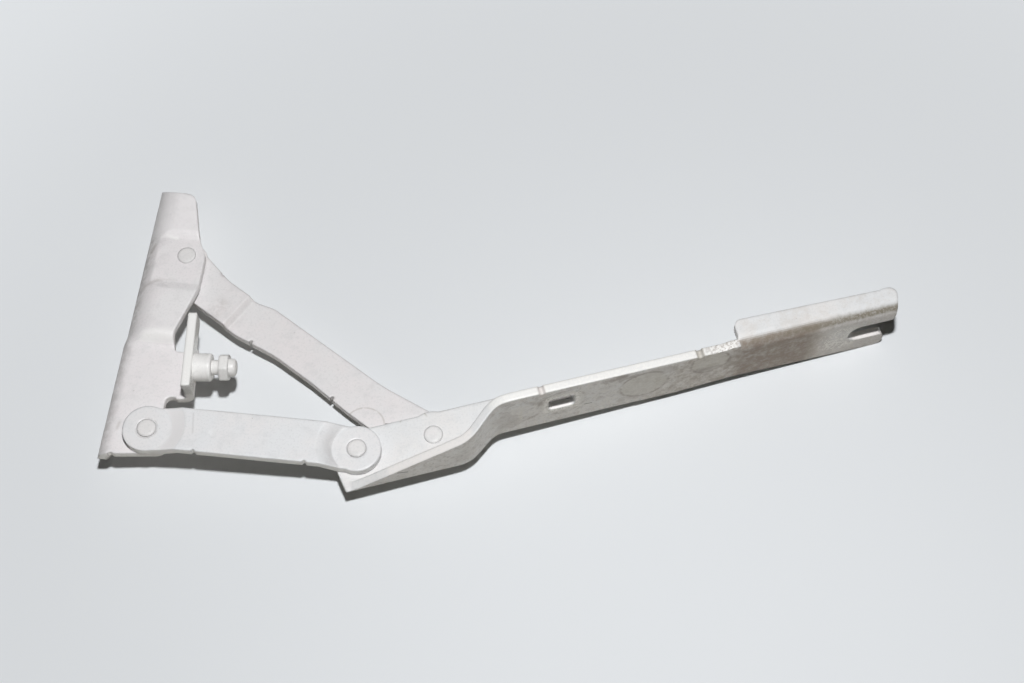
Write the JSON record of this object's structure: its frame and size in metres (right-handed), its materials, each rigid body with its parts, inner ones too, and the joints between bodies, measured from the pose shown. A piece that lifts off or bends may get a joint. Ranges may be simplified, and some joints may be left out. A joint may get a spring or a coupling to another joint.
{
  "type": "car bonnet hinge",
  "caption": "Four-bar bonnet hinge of pressed primed steel: a foot bracket, two riveted links and a long arm with slots, and a screw stop for the closed height.",
  "frame": {"origin": "the middle of the foot's two bolt holes, on the face that meets the car body", "axes": "+X away from the foot's face, +Y along the foot from the lower to the upper body pivot, +Z along the pivots, out of the web on the side of the stop tab"},
  "size_m": [0.4029, 0.1698, 0.0649],
  "materials": {
    "primed_bracket": "warm light grey primer, matt",
    "primed_stop": "light grey primer, matt",
    "primed_links": "cool light grey primer, matt",
    "primed_arm": "light grey primer with dirt and washer marks, matt",
    "primed_rivets": "light grey primer, matt",
    "bush_bronze": "plain bronze, dry running"
  },
  "bodies": {
    "bracket": {"body_bracket": "primed_bracket", "stop_collar": "primed_stop", "rivet_lower_body": "primed_rivets", "rivet_upper_body": "primed_rivets"},
    "lower_link": {"lower_link": "primed_links", "bush_lower_body": "bush_bronze", "bush_lower_arm": "bush_bronze"},
    "upper_link": {"upper_link": "primed_links", "bush_upper_body": "bush_bronze", "bush_upper_arm": "bush_bronze", "rivet_upper_arm_tail": "primed_rivets"},
    "arm": {"bonnet_arm": "primed_arm", "rivet_lower_arm": "primed_rivets", "rivet_upper_arm_head": "primed_rivets"},
    "stop_screw": {"stop_screw": "primed_stop"}
  },
  "joints": [
    {"name": "lower_link_hinge", "type": "hinge", "parent": "bracket", "child": "lower_link", "pos_m": [0.0254, -0.062, 0.018], "axis": [0, 0, 1], "range_deg": [-74.05, 0]},
    {"name": "upper_link_hinge", "type": "hinge", "parent": "bracket", "child": "upper_link", "pos_m": [0.0254, 0.042, 0.01], "axis": [0, 0, 1], "range_deg": [-47.65, 0]},
    {"name": "arm_hinge", "type": "hinge", "parent": "lower_link", "child": "arm", "pos_m": [0.1344, -0.062, 0.018], "axis": [0, 0, 1], "range_deg": [0, 140.37]},
    {"name": "stop_screw_adjust", "type": "slide", "parent": "bracket", "child": "stop_screw", "axis": [0.9954, 0.0958, 0], "range_m": [-0.0035, 0]}
  ],
  "couplings": [
    {"joint": "upper_link_hinge", "follows": "lower_link_hinge", "ratio": 0.64343},
    {"joint": "arm_hinge", "follows": "lower_link_hinge", "ratio": -1.8955}
  ]
}
